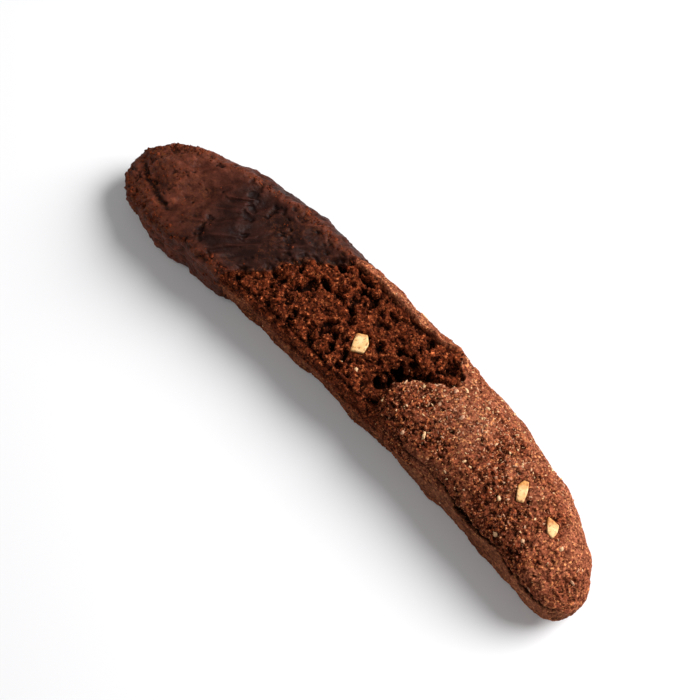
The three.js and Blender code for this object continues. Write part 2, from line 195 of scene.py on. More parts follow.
def slice_skin(t, p, q):
    """The slice without its fine relief. (p, q) goes round a square pulled to |p|^9 + |q|^9 = 1: p spans
    the outline in y, and q runs from the waist to the floor or up to crumb or crust, flattened a little.
    Near the lip each station is bent along x onto the lip's line, found by four passes. Before the lip the
    far shoulder is cut back, and under the chocolate the floor is lifted."""
    reach = (np.abs(p) ** CORNER + np.abs(q) ** CORNER) ** (1 / CORNER)
    t, p, q = np.broadcast_arrays(t, p / reach, q / reach)
    up = np.maximum(0, q)
    level = np.minimum(1, np.abs(q) * KNIFE_FLAT)
    x = t * HALF_LENGTH
    bend = up * up * (1 - eased(3, 32, np.abs(x - LIP_PLACE)))
    for _ in range(4):
        y = (bottom_edge(x) + dome_edge(x)) / 2 + (dome_edge(x) - bottom_edge(x)) / 2 * p
        x = t * HALF_LENGTH + (lip_x(y) - LIP_PLACE) * bend
    edge = between(*LIP_STEP, eased(-3, -12, y)) / 2 + 1.8 * eased(3.2, 6.5, y)
    beyond = eased(-edge, edge, x - lip_x(y))
    top = between(crumb_level(x, y), crust_level(p), beyond)
    rise = np.sqrt(1 - np.abs(t) ** np.where(t > 0, *TOP_POWERS))
    lift = DIP_LIFT * eased(10, 4, x - DIP_EDGE - DIP_SLANT * (y - DIP_PIVOT_Y))
    foot = lift + (WAIST_LEVEL - lift) * (1 - np.sqrt(1 - np.abs(t) ** FOOT_POWER))
    above = WAIST_LEVEL + (top - WAIST_LEVEL) * rise * level
    z = np.where(q > 0, above, WAIST_LEVEL - (WAIST_LEVEL - foot) * level)
    shoulder = np.maximum(0, p) * up * up * (1 - eased(-5, 1, x - lip_x(y))) * np.sqrt(1 - t**8)
    y = y - SHOULDER_CUT * shoulder
    out = np.stack([np.sign(g) * np.abs(g) ** n for g, n in ((t, 14), (p, 8), (q, 8))], -1)
    out /= np.linalg.norm(out, axis=-1, keepdims=True)
    flat_foot = 1 - eased(0.75, 0.96, -q) * (q < 0)
    bump = sum(a * np.sin(kx * x + ky * y + kz * z + turn) for a, kx, ky, kz, turn in SWELLS)
    at = np.stack([x, y, z], -1) + out * (bump * flat_foot * (1 - np.abs(t) ** 40))[..., None]
    return at, p, q


def facing(at):
    """The outward direction at each grid point: the cross product of the steps round and along the grid."""
    round_step = np.roll(at, -1, axis=1) - np.roll(at, 1, axis=1)
    along_step = np.gradient(at, axis=0)
    out = np.cross(along_step, round_step)
    return out / np.maximum(np.linalg.norm(out, axis=-1, keepdims=True), 1e-9)


def spaced_stations(count, closeness):
    """Shares of the half length whose steps along the outline are in inverse proportion to closeness(x)."""
    t = np.sin(np.linspace(-np.pi / 2, np.pi / 2, 4001))
    width = (dome_edge(t * HALF_LENGTH) - bottom_edge(t * HALF_LENGTH)) / 2
    step = np.hypot(np.diff(t) * HALF_LENGTH, np.diff(width)) * closeness(t[1:] * HALF_LENGTH)
    arc = np.concatenate([[0], np.cumsum(step)])
    return np.interp(np.linspace(0, arc[-1], count + 1), arc, t)


def slice_closeness(x):
    """Few stations where chocolate hides the dough, and 1.7 times as many as usual at the lip."""
    return 0.2 + 0.8 * eased(-43, -38, x) + 0.7 * bell(x, LIP_PLACE, 5)


def places_round(steps):
    """The way round the section, as points of a square: under, up the bottom crust, over, down the dome."""
    under, base, top, dome = [np.linspace(-1, 1, n, endpoint=False) for n in steps]
    p = np.concatenate([-under, -np.ones(len(base)), top, np.ones(len(dome))])
    q = np.concatenate([-np.ones(len(under)), base, np.ones(len(top)), -dome])
    return p, q


def closed_tube(name, rings, first, last, fields):
    """A mesh from a grid of rings, closed round and fanned to a point at each end, fields kept by point."""
    count, steps = rings.shape[:2]
    verts = np.concatenate([first[None], rings.reshape(-1, 3), last[None]]) + MIDDLE_SHIFT
    start = 1 + np.arange(count - 1)[:, None] * steps
    k = np.arange(steps)
    turn = (k + 1) % steps
    here, right = start + k, start + turn
    quads = np.stack([here, here + steps, right + steps, right], -1).reshape(-1, 4)
    start_fan = np.stack([0 * k, 1 + k, 1 + turn], -1)
    final = 1 + (count - 1) * steps
    end_fan = np.stack([0 * k + final + steps, final + turn, final + k], -1)
    return mesh_piece(name, verts, [*quads.tolist(), *start_fan.tolist(), *end_fan.tolist()], fields)


def mesh_piece(name, verts, faces, fields):
    """A smooth-shaded mesh object at the origin, from points in millimetres, its fields kept by point."""
    mesh = bpy.data.meshes.new(name)
    mesh.from_pydata((verts * MILLIMETRE).tolist(), [], faces)
    for field, values in fields.items():
        numbers = mesh.attributes.new(field, "FLOAT", "POINT").data
        numbers.foreach_set("value", np.asarray(values, dtype=np.float32))
    mesh.polygons.foreach_set("use_smooth", np.ones(len(faces), dtype=bool))
    piece = bpy.data.objects.new(name, mesh)
    bpy.context.scene.collection.objects.link(piece)
    return piece


def crack_level(at):
    """The long crack's height between bottom crust and dome: it falls to the tip and wanders a little."""
    along = at * np.array([1, 0.2, 0.2])
    level = CRACK_LEVEL - CRACK_FALL * (at[..., 0] - CRACK_START)
    return level + 0.7 * lumps(along, 3.4, 45) + 0.45 * lumps(along, 1.1, 46)


# How far up the wall the smooth bottom crust reaches, at six places along x.
SKIRT_X = (-40, -20, -5, 12, 31, 41)
SKIRT_LEVELS = (9.4, 9.0, 7.2, 6.8, 8.2, 14.0)


def skirt_level(at):
    """The upper edge of the smooth bottom crust: by x, and no higher than the long crack."""
    return np.minimum(np.interp(at[..., 0], SKIRT_X, SKIRT_LEVELS), crack_level(at))


def crack_depth(at, p):
    """How deep the long crack is here: a groove of parabolic section. It gapes from x = 39 to 50 and a
    little at 53, and is a hair elsewhere."""
    x, y, z = np.moveaxis(at, -1, 0)
    gape = bell(x, 44.8, 5.4, 6) + 0.8 * bell(x, 52.8, 1.7, 4)
    hair = 0.3 * eased(CRACK_START - 4, CRACK_START, x) + 0.3 * eased(54, 57, x) * eased(CRACK_END, 66, x)
    along = gape + hair * eased(-0.3, 0.2, lumps(at, 3.1, 47) + 0.4 * gape)
    half = 0.3 + 0.32 * along * (0.85 + 0.6 * lumps(at, 1.3, 48))
    off = (z - crack_level(at)) / half
    within = (p < -0.7) * (x > CRACK_START - 4) * (x < CRACK_END)
    return (0.5 + 2.0 * along) * np.maximum(0, 1 - off * off) * within


def rim_share(at, p, q):
    """Where the dome's crust stands as a rim beside the crumb: a bell curve on the far upper corner."""
    x = at[..., 0]
    worn = 0.8 + 0.5 * lumps(at, 6.5, 66)
    stretch = eased(-38, -32, x) * (1 - eased(-1.5, 1.5, x - lip_x(at[..., 1])))
    return np.clip(worn, 0, 1) * stretch * bell(p - q, 0.0, 0.032) * (p > 0.6) * (q > 0.6)


NUTS = [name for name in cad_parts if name.startswith("nut_")]
NUT_REACH = 7
FAR_OUT = 9.0


def block_facets(node):
    """The middle of a nut's plain block, and each facet's outward normal and distance from that middle."""
    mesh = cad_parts[node].data
    mesh.calc_loop_triangles()
    corners = np.array([vertex.co for vertex in mesh.vertices]) / MILLIMETRE - MIDDLE_SHIFT
    triangles = np.array([triangle.vertices for triangle in mesh.loop_triangles])
    middle = np.unique(corners.round(3), axis=0).mean(0)
    a, b, c = [corners[triangles[:, k]] for k in range(3)]
    normals = np.cross(b - a, c - a)
    normals /= np.linalg.norm(normals, axis=1, keepdims=True)
    return middle, normals, np.sum(normals * (a - middle), axis=1)


def gauge(points, node):
    """How far out a point lies from a nut: the greatest of n.(point - middle) / h over its facets, so 1 on
    the block itself, and FAR_OUT where the block is out of reach."""
    middle, normals, distances = block_facets(node)
    share = np.full(points.shape[:-1], FAR_OUT)
    close = np.linalg.norm(points - middle, axis=-1) < NUT_REACH
    share[close] = np.max((points[close] - middle) @ normals.T / distances, axis=-1)
    return share


# Bubbles that broke open on the upper face: x, y and radius.
OPEN_BUBBLES = (
    (-7.1, -4.8, 1.5), (-5.4, -6.4, 1.2), (-6.8, 1.1, 1.1), (2.6, 1.1, 1.4), (-1.9, -5.8, 1.0),
    (7.0, -4.2, 1.3), (-11.2, -10.6, 1.0), (-21.1, -5.6, 1.4), (-14.5, 3.0, 1.7), (-24.0, 2.5, 1.2),
    (-18.0, 9.0, 1.3), (8.1, -1.4, 1.2), (-10.0, 8.5, 1.1), (-4.9, -8.7, 0.9), (9.3, 0.6, 1.2),
    (12.1, 2.7, 1.2), (35.1, 0.3, 0.6), (45.6, 1.4, 0.8), (51.9, -1.7, 0.7), (28.0, -3.1, 0.65),
    (20.8, -0.9, 0.6), (23.1, -0.6, 0.5), (63.3, -12.5, 0.5), (43.5, -5.3, 0.5),
)
BUBBLE_DEPTH = 2.4


def broken_bubbles(at, q):
    """How deep a point of the upper face lies in a broken bubble, 0 to 1: (1 - d / radius)^0.6 at d from
    its middle, less in one of under 1 mm radius."""
    place = torn(torn(at, 2.4, 78, 0.9), 0.8, 77, 0.6)
    deepest = np.zeros(at.shape[:-1])
    for x, y, radius in OPEN_BUBBLES:
        off = np.hypot(place[..., 0] - x, place[..., 1] - y) / radius
        deepest = np.maximum(deepest, np.clip(1 - off, 0, 1) ** 0.6 * min(1, radius))
    return deepest * (q > 0.6)


def coarse_share(at, p):
    """How coarse the crust is: gritty towards the bottom crust, smooth on the flank and at the tip, with
    drawn patches of both."""
    x, y, z = np.moveaxis(at, -1, 0)
    patches = 0.7 * lumps(at, 6.5, 55) + 0.5 * lumps(at, 2.6, 56) + 0.9 * bell(x, 17, 7) * bell(y, -8, 5)
    share = np.clip(0.44 - 0.3 * p + patches, 0, 1)
    return share * (1 - 0.35 * eased(0.5, 0.85, p)) * (1 - 0.5 * eased(62, 70, x))


CAVE_DEPTH = 1.9
PORE_DEPTH = 1.0
CLUMP_HEIGHT = 0.55
SOCKET_DEPTH = 0.5


def crumb_relief(at):
    """Open crumb, in millimetres outwards: rough clumps, less caves and pores where drawn lumps lie low."""
    caves = eased(-0.2, -0.5, rough(torn(torn(at, 2.2, 6, 0.9), 0.9, 5, 0.55), 3.4, 11))
    pores = eased(-0.08, -0.4, rough(torn(at, 0.7, 8, 0.4), 1.5, 23))
    clumps = CLUMP_HEIGHT * rough(torn(at, 0.6, 9, 0.2), 1.05, 37) + 0.18 * rough(at, 0.5, 39)
    return clumps - CAVE_DEPTH * caves - PORE_DEPTH * pores + 0.4 * lumps(at, 5.2, 41)


def dome_relief(at, p, pocks):
    """Domed crust: grit and pocks, both deeper where the crust is coarse, on gentle swells."""
    coarse = coarse_share(at, p)
    grit = (0.18 + 0.28 * coarse) * rough(torn(at, 0.5, 15, 0.15), 0.85, 54)
    return grit - (0.2 + 0.6 * coarse) * pocks + 0.16 * lumps(at, 3.4, 51)


def base_relief(at, pocks):
    """Bottom crust: low swells and lengthwise streaks, pocked in places."""
    streaks = lumps(at * np.array([0.22, 1, 1]), 0.9, 62)
    smooth = 0.14 * lumps(at, 4.2, 61) + 0.16 * streaks + 0.26 * rough(at, 1.1, 64)
    return smooth - 0.4 * pocks * eased(-0.3, 0.4, lumps(at, 6, 63))


def slice_relief(at, p, q):
    """The fine relief, in millimetres outwards, with what the material needs to know: how far a point is
    crust, and how far it is the smooth bottom crust. Crumb shows on both knife faces and down the torn
    upper edge of the wall, as far as the lip. The rest is bottom crust up to the skirt, then dome."""
    x, y, z = np.moveaxis(at, -1, 0)
    ragged = 0.9 * lumps(at, 2.1, 71) + 0.4 * lumps(at, 0.9, 72)
    worn = between(0.5, 6, eased(-3, -12, y))
    before_lip = 1 - eased(-0.4, worn, x - lip_x(y) + ragged - 1.2 * eased(3.5, 6.5, y))
    knife_face = eased(0.935, 0.96, q + 0.012 * ragged)
    above_skirt = z - skirt_level(at)
    torn_arris = eased(-0.8, 0.8, above_skirt + 1.7 * ragged) * eased(-0.7, -0.8, p) * (q > 0)
    upper = np.maximum(knife_face, torn_arris) * before_lip
    under = eased(0.94, 0.965, -q) * eased(3, 2, z)
    crumb = np.maximum(upper, under)
    band = eased(-0.88, -0.95, p) * eased(1.0, -0.4, above_skirt + 0.8 * ragged) * (1 - crumb)
    band = band * between(0.5, 1, eased(6, 24, x))
    rim = rim_share(at, p, q)

    open_crumb = crumb_relief(at) * between(1, 0.55, torn_arris * (1 - knife_face))
    open_crumb = open_crumb - 0.9 * bell(p + q, 0, 0.09) * (p < 0)
    pocks = eased(-0.12, -0.45, rough(torn(at, 0.6, 14, 0.4), 0.95, 31))
    baked = between(dome_relief(at, p, pocks), base_relief(at, pocks), band)
    crumbly = crumb * (1 - rim)
    height = between(baked, open_crumb, crumbly) - BUBBLE_DEPTH * broken_bubbles(at, q) + rim
    return height, 1 - crumbly, np.maximum(band, 0.9 * rim)


def dip_line(y, z):
    """Where the chocolate ends along x: slanting with y, and wavering by drawn lumps of three sizes."""
    place = np.stack([0 * y, y, z], -1)
    waver = 1.5 * lumps(place, 4.5, 91) + 0.9 * lumps(place, 2.0, 92) + 0.4 * lumps(place, 0.8, 93)
    return DIP_EDGE + DIP_SLANT * (y - DIP_PIVOT_Y) + DIP_OVERLAP + 1.5 * eased(12, 4, z) + waver


share_along = spaced_stations(STATIONS, slice_closeness)[1:-1, None]
round_p, round_q = places_round(STEPS_ROUND)
skin, skin_p, skin_q = slice_skin(share_along, round_p[None], round_q[None])
skin_x, skin_y, skin_z = np.moveaxis(skin, -1, 0)
height, crust, band = slice_relief(skin, skin_p, skin_q)
crack = crack_depth(skin, skin_p)

# How far a point stands above the relief round it, and how much painted shade it gets for the hollow it
# lies in:
# low crumb, painted shadow in the slot before the lip, and the crack. The slot's end under the dome lies in
# the light, so it gets less.
standing = height - evened(height, 4, 5)
past_lip = skin_x - lip_x(skin_y)
in_crater = eased(-8, -4, skin_y) * (1 - eased(3.2, 6, skin_y)) * (1 - crust)
slot_shadow = 0.8 * bell(past_lip, -2.3, 2.8) * eased(14.2, 12, skin_z) * in_crater
lit_end = bell(past_lip, -2, 3.5) * eased(2, 5, skin_y)
hollow = np.clip((-0.1 - standing) / 0.9, 0, 1) ** 0.8 + np.clip((-1.0 - height) / 1.8, 0, 0.5)
hollow = np.clip(hollow * (1 - 0.5 * lit_end) + slot_shadow + crack / 0.6, 0, 1)

# The surface itself: sunk round each nut and under the chocolate, cut by the crack, frayed along x at the
# lip, and flat where it rests.
near_nut = np.min([gauge(skin, node) for node in NUTS], axis=0)
height = between(height, np.minimum(height, -SOCKET_DEPTH), eased(1.2, 0.98, near_nut))
depth = height - COAT_BED * eased(-1, -4, skin_x - dip_line(skin_y, skin_z))
dough_points = skin + facing(skin) * depth[..., None] + crack[..., None] * CRACK_INWARD
near_lip = bell(skin_x, lip_x(skin_y), 2.6) * (skin_q > 0.9) * eased(-12, -5, skin_y)
dough_points[..., 0] += near_lip * (0.8 * lumps(skin * [0.2, 1, 1], 2.3, 81) + 0.5 * lumps(skin, 1.0, 82))
lowest = np.where(skin_q < -0.9, np.minimum(skin_z, 0.0), 0.0)
dough_points[..., 2] = np.maximum(dough_points[..., 2], lowest)
tips = [np.array([end * HALF_LENGTH, y, WAIST_LEVEL]) for end, y in zip((-1, 1), TIP_Y)]


def with_tips(field, first, last):
    """A grid's field as one row of numbers, with a value for each tip."""
    return np.concatenate([[first], field.ravel(), [last]])


# The crust is dustier along the middle; over the end and a little on the far side it is lighter as painted
# light.
middle_belt = bell(skin_x, 31, 20) * bell(skin_y, 3, 9) * (skin_q > 0.5) * crust
dusted = np.maximum(0.5 * middle_belt, eased(48, 64, skin_x))
dusted = dusted + 0.35 * eased(-0.2, 0.5, skin_p) * (skin_q > 0)
slice_fields = {
    "crust": with_tips(crust, 1, 1),
    "band": with_tips(band, 0, 0),
    "hollow": with_tips(hollow, 0, 0),
    "standing": with_tips(np.clip(standing / 0.5, 0, 1), 0, 0),
    "coarse": with_tips(coarse_share(skin, skin_p) * (1 - 0.5 * band), 0, 0),
    "dusted": with_tips(np.minimum(dusted, 1), 0, 1),
}
dough = closed_tube("baked_slice", dough_points, *tips, slice_fields)


def join(tree, socket, value):
    """Links a socket to another node's output, or sets it to a value."""
    if isinstance(value, bpy.types.NodeSocket):
        tree.links.new(value, socket)
    else:
        socket.default_value = value


def put(tree, kind, sockets=None, **settings):
    """A shader node with its settings and its named sockets."""
    made = tree.nodes.new("ShaderNode" + kind)
    for name, value in settings.items():
        setattr(made, name, value)
    for name, value in (sockets or {}).items():
        join(tree, made.inputs[name], value)
    return made


def new_finish(name, roughness, specular):
    """An empty material with its shader, and the piece's own coordinates in metres."""
    finish = bpy.data.materials.new(name)
    finish.use_nodes = True
    tree = finish.node_tree
    shader = tree.nodes["Principled BSDF"]
    shader.inputs["Roughness"].default_value = roughness
    shader.inputs["Specular IOR Level"].default_value = specular
    return finish, tree, shader, put(tree, "TexCoord").outputs["Object"]


def grain(tree, where, size, detail=2.0, roughness=0.6):
    """Fractal noise with its main features `size` millimetres apart."""
    sockets = {"Vector": where, "Scale": METRE / size, "Detail": detail, "Roughness": roughness}
    return put(tree, "TexNoise", sockets).outputs["Fac"]


def colours(tree, value, *stops):
    """A colour ramp: each stop is a place from 0 to 1 and a linear red, green and blue."""
    made = put(tree, "ValToRGB", {"Fac": value})
    ramp = made.color_ramp
    while len(ramp.elements) < len(stops):
        ramp.elements.new(1.0)
    for element, (place, *rgb) in zip(ramp.elements, stops):
        element.position = place
        element.color = (*rgb, 1)
    return made.outputs["Color"]


def blend(tree, share, first, second, way="MIX"):
    """Two colours mixed by a share."""
    made = put(tree, "Mix", data_type="RGBA", blend_type=way)
    for number, value in ((0, share), (6, first), (7, second)):
        join(tree, made.inputs[number], value)
    return made.outputs[2]


def reckon(tree, way, first, second):
    """One sum on two numbers."""
    made = put(tree, "Math", operation=way)
    join(tree, made.inputs[0], first)
    join(tree, made.inputs[1], second)
    return made.outputs[0]


def spread(tree, value, low, high, to_low, to_high):
    """A number carried from the range low to high onto another range, and held inside it."""
    ends = {"Value": value, "From Min": low, "From Max": high, "To Min": to_low, "To Max": to_high}
    return put(tree, "MapRange", ends).outputs["Result"]


def kept(tree, name):
    """A number kept on the mesh."""
    return put(tree, "Attribute", attribute_name=name).outputs["Fac"]


def raised(tree, height, distance, strength, normal=None):
    """A bump of `distance` millimetres."""
    made = put(tree, "Bump", {"Height": height, "Distance": distance * MILLIMETRE, "Strength": strength})
    if normal is not None:
        tree.links.new(normal, made.inputs["Normal"])
    return made.outputs["Normal"]


def ruffled(tree, where, size):
    """The same place pushed about by noise, by about a third of `size`: where + f * (2 noise - 1)."""
    push = put(tree, "TexNoise", {"Vector": where, "Scale": METRE / size, "Detail": 1.0}).outputs["Color"]
    return blend(tree, 0.35 * size * MILLIMETRE, where, push, "LINEAR_LIGHT")


def granular(tree, where, size, open_share, dark, *stops):
    """Broken grains about `size` millimetres wide. Each one's colour is drawn from a ramp and mottled by
    noise, and painted shade darkens it in ragged crevices, the more the greater open_share. Gives colour
    and height."""
    cell = put(tree, "TexVoronoi", {"Vector": ruffled(tree, where, size), "Scale": METRE / size})
    drawn = reckon(tree, "MULTIPLY", cell.outputs["Color"], 0.5)
    tone = reckon(tree, "ADD", drawn, reckon(tree, "MULTIPLY", grain(tree, where, size * 1.4, 3, 0.7), 0.5))
    cracked = reckon(tree, "SUBTRACT", grain(tree, where, size * 1.8, 4, 0.75), open_share)
    crevice = spread(tree, cracked, 0.33, 0.43, 0.0, 1.0)
    return blend(tree, crevice, dark, colours(tree, tone, *stops)), crevice


# The dough's finish: dark brown open crumb with foxy grains, and a paler dusty crust. Raised points are
# lightened and low ones darkened as painted light and shade. Each ramp stop is a place and a linear colour.
CRUMB_GRAIN = 0.5
CRUST_GRAIN = 0.42
CRUMB_STOPS = (
    (0.25, 0.031, 0.0050, 0.0015),
    (0.45, 0.091, 0.0158, 0.0047),
    (0.62, 0.190, 0.0375, 0.0118),
    (0.74, 0.590, 0.1650, 0.0560),
)
CRUST_STOPS = (
    (0.24, 0.068, 0.0140, 0.0050),
    (0.41, 0.217, 0.0600, 0.0305),
    (0.61, 0.395, 0.1280, 0.0670),
    (0.77, 0.950, 0.4200, 0.1600),
)
# Painted shade: the colours that the crevices between grains darken towards.
CRUMB_CREVICE_SHADE = (0.010, 0.0017, 0.0005, 1)
CRUST_CREVICE_SHADE = (0.034, 0.0062, 0.0018, 1)
BAND_STOPS = ((0.3, 0.130, 0.048, 0.0240), (0.7, 0.50, 0.215, 0.110))
# Coarse crust is coloured darker and redder: partly its grit, partly painted shade on the side towards the
# bottom crust.
COARSE_AND_SHADED_STOPS = ((0.0, 0.94, 0.90, 0.86), (1.0, 0.78, 0.54, 0.39))
DUST_AND_LIGHT_STOPS = ((0.0, 1.0, 1.0, 1.0), (1.0, 1.32, 1.35, 1.38))
PAINTED_TOP_LIGHT_STOPS = ((0.0, 0.8, 0.78, 0.76), (1.0, 1.4, 1.35, 1.3))
# Painted shade for hollows, the slot before the lip and the crack.
PAINTED_VOID_SHADE = (0.004, 0.0012, 0.0005, 1)

baked_finish, tree, shader, where = new_finish("baked cocoa dough", 0.9, 0.05)
crumb_colour, crumb_height = granular(tree, where, CRUMB_GRAIN, 0.05, CRUMB_CREVICE_SHADE, *CRUMB_STOPS)
open_share = spread(tree, kept(tree, "coarse"), 0.0, 1.0, 0.0, 0.10)
crust_colour, crust_height = granular(tree, where, CRUST_GRAIN, open_share, CRUST_CREVICE_SHADE, *CRUST_STOPS)
# Coarse crust darkened, partly as painted shade on the side towards the bottom crust.
patches = colours(tree, kept(tree, "coarse"), *COARSE_AND_SHADED_STOPS)
# Painted light: the crust brightened over its end and on the far side, as well as dustier along the middle.
dust_and_light = colours(tree, kept(tree, "dusted"), *DUST_AND_LIGHT_STOPS)
crust_colour = blend(tree, 1.0, blend(tree, 1.0, crust_colour, patches, "MULTIPLY"), dust_and_light, "MULTIPLY")
lengthwise = put(tree, "Mapping", {"Vector": where, "Scale": (0.2, 1.0, 1.0)}).outputs["Vector"]
band_colour = colours(tree, grain(tree, lengthwise, 1.3, 4, 0.7), *BAND_STOPS)
outside = blend(tree, reckon(tree, "MULTIPLY", kept(tree, "band"), 0.35), crust_colour, band_colour)
whole = blend(tree, kept(tree, "crust"), crumb_colour, outside)
# Painted light and shade: raised points made lighter and low ones darker.
painted_top_light = colours(tree, kept(tree, "standing"), *PAINTED_TOP_LIGHT_STOPS)
whole = blend(tree, 1.0, whole, painted_top_light, "MULTIPLY")
# Painted shade: the colour darkens in hollows, in the slot before the lip and in the crack.
shaded = reckon(tree, "MULTIPLY", kept(tree, "hollow"), 0.92)
tree.links.new(blend(tree, shaded, whole, PAINTED_VOID_SHADE), shader.inputs["Base Color"])
plain = reckon(tree, "SUBTRACT", 1.0, reckon(tree, "MULTIPLY", kept(tree, "band"), 0.15))
rough_bump = raised(tree, reckon(tree, "MULTIPLY", crumb_height, plain), 0.3, 0.9)
rough_bump = raised(tree, reckon(tree, "MULTIPLY", crust_height, plain), 0.22, 0.8, rough_bump)
rough_bump = raised(tree, grain(tree, where, 0.28, 3, 0.7), 0.12, 0.8, rough_bump)
tree.links.new(rough_bump, shader.inputs["Normal"])
dough.data.materials.append(baked_finish)
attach(dough, "root")
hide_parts("biscuit")


# --------------------------------------------------------------------------------------------------
# The chocolate. One end of the slice was dipped in melted dark chocolate and set on a sheet: a skin about a
# millimetre thick that drapes over the crumb in soft folds, with a thicker foot along the bottom crust. At
# its ragged edge it thins out and sinks into the dough, and the crumb shows through.
COAT_RINGS = 206
COAT_THICKNESS = 0.3
EDGE_SINK = 1.2
LINING_DEPTH = 0.6
SHEET_GAP = 0.02
DIP_SHARE = -0.42
GROOVE_DEPTH = 0.65
PIT_DEPTH = 0.45
# The foot's two swellings: thickness, middle along x and reach.
FEET = ((1.3, -57, 6.8), (1.0, -41.5, 5.6))


def dipped_skin(share, edge_t):
    """The dipped part of the slice's skin: share 0 is the tip's first ring and share 1 the chocolate's
    edge, with the rings in even steps of arc length at every place round."""
    stations = spaced_stations(STATIONS, np.ones_like)
    arc = np.arange(STATIONS + 1)
    edge = np.interp(edge_t, stations, arc)
    t = np.interp(between(1, edge[None], share[:, None]), arc, stations)
    return slice_skin(t, round_p[None], round_q[None])


def groove_depth(x, y):
    """A shallow groove round the tip, of bell-curve section, along y = -9.4 + 2.3s + 2.1s^2, where s goes
    from 0 at x = -59 to 1 at x = -71."""
    s = (x + 59) / -12
    off = y - (-9.4 + 2.3 * s + 2.1 * s * s)
    return GROOVE_DEPTH * bell(off, 0, 0.8) * eased(-74, -71, x) * eased(-57, -61, x)


waist_line = slice_skin(np.full((1, 1), DIP_SHARE), round_p[None], round_q[None])[0][0]
edge_share = dip_line(waist_line[:, 1], waist_line[:, 2]) / HALF_LENGTH
coat_share = np.linspace(0, 1, COAT_RINGS)
coat_skin, coat_p, coat_q = dipped_skin(coat_share, edge_share)
x, y, z = np.moveaxis(coat_skin, -1, 0)
to_edge = edge_share[None] * HALF_LENGTH - x
wall = eased(-0.9, -0.95, coat_p)
far_side = eased(0.6, 0.85, coat_p)
upper_face = coat_q > 0.8
arris = bell(np.abs(coat_p) - coat_q, 0, 0.12) * (coat_q > 0.5)

# The film: folds along slanting crests, runs down the wall and the foot, over a soft print of the crumb.
relief = slice_relief(coat_skin, coat_p, coat_q)[0]
soft_relief = evened(relief, 5, 5)
drape = np.stack([(x + y) / 2.8, x - y, 1.6 * z], -1)
crest = 1 - np.hypot(lumps(torn(torn(drape, 3.7, 100, 1.5), 1.3, 107, 0.35), 3.0, 101), 0.14)
folds = between(0.45, 0.7, eased(-58, -48, x)) * (1 - 0.7 * wall)
runs = lumps(coat_skin * np.array([1, 1, 0.3]), 1.5, 105) * wall
feet = sum(thickness * bell(x, middle, reach, 8) for thickness, middle, reach in FEET)
foot = feet * eased(-9, -11, y) * between(1, 0.5, eased(3, 9, z))
film = 0.15 + folds * crest**2 + 0.12 * lumps(torn(drape, 1.7, 111, 0.6), 1.3, 102) + 0.25 * runs + foot
crumb_print = between(soft_relief, relief, eased(4, 0, to_edge)) * between(0.8, 0.4, eased(1, 8, to_edge))
film = film * between(0.35, 1, eased(0, 5, to_edge)) + crumb_print

# Finer roughness on it, a few pits and the groove.
coarser = 0.1 + 0.1 * eased(-56, -66, x) + 0.17 * far_side + 0.18 * wall
film = film + coarser * rough(torn(coat_skin, 0.9, 106, 0.3), 1.5, 103)
pitted = eased(-0.3, -0.5, rough(torn(coat_skin, 1.1, 110, 0.4), 2.2, 109)) * upper_face
groove = groove_depth(x, y) * upper_face
film = film - PIT_DEPTH * pitted - groove
film = film + 0.35 * arris * rough(torn(coat_skin, 0.7, 113, 0.3), 1.2, 112)
film = film + (0.15 * eased(-50, -62, x) + 0.2 * wall) * rough(coat_skin, 0.85, 116)
film = np.where(coat_q < -0.9, np.clip(film, 0, 0.85), film)

# The closed shell: its outer face, and a lining inside the dough.
sink = eased(0.985, 1, coat_share)[:, None]
coat_out = facing(coat_skin)
coat_points = coat_skin + coat_out * (COAT_THICKNESS + film - EDGE_SINK * sink)[..., None]
coat_points[..., 2] = np.maximum(coat_points[..., 2], SHEET_GAP)
lining_points = (coat_skin + coat_out * np.minimum(film - 0.5, -LINING_DEPTH)[..., None])[::-1]

# What the material needs: caught crumbs, bare crumb at the edge, painted light towards the tip, and painted
# shade in low places and painted highlights on high places.
film_standing = film - evened(film, 4, 5)
dust = 0.1 + 0.4 * lumps(coat_skin, 5.5, 104) + 0.6 * arris + 0.65 * eased(-54, -68, x) + 0.45 * wall
dust = np.clip(np.maximum(dust, eased(2.5, 0.5, to_edge)), 0, 1)
coat_fields = {
    "dust": dust,
    "bare": eased(0.9, -0.4, to_edge + 1.5 * rough(coat_skin, 2.4, 108)),
    # Painted light: lighter and redder towards the tip, the arris and the wall.
    "tipward_painted_light": np.clip(eased(-44, -62, x) + 0.5 * arris + 0.75 * wall + 0.2 * far_side, 0, 1),
    # Painted shade in low places and the groove, painted highlights on high places.
    "low": np.clip(-0.05 - film_standing + 0.3 * groove, 0, 0.3) / 0.3,
    "high": np.clip(film_standing - 0.02, 0, 0.3) / 0.3,
}
none = np.zeros(lining_points.shape[:2])
coat_fields = {name: with_tips(np.concatenate([field, none]), 0, 0) for name, field in coat_fields.items()}
coat_rings = np.concatenate([coat_points, lining_points])
outer_tip = tips[0] - [1.0, 0, 0]
inner_tip = tips[0] + [0.9, 0, 0]
coat = closed_tube("chocolate_coat", coat_rings, outer_tip, inner_tip, coat_fields)

# The chocolate's finish: satin, darker in the middle where it is thick and as painted shade, lighter and
# redder towards the tip, the arris and the wall as painted light, with cocoa crumbs caught in.
THICK_AND_SHADED_STOPS = ((0.35, 0.013, 0.0036, 0.0024), (0.65, 0.030, 0.0092, 0.0064))
THIN_AND_LIT_STOPS = ((0.35, 0.058, 0.0130, 0.0066), (0.65, 0.130, 0.0350, 0.0195))
PAINTED_HIGHLIGHT_STOPS = ((0.0, 0.9, 0.9, 0.9), (1.0, 1.7, 1.6, 1.55))
PAINTED_LOW_SHADE = (0.007, 0.0020, 0.0013, 1)
CAUGHT_CRUMB = (0.20, 0.055, 0.017, 1)

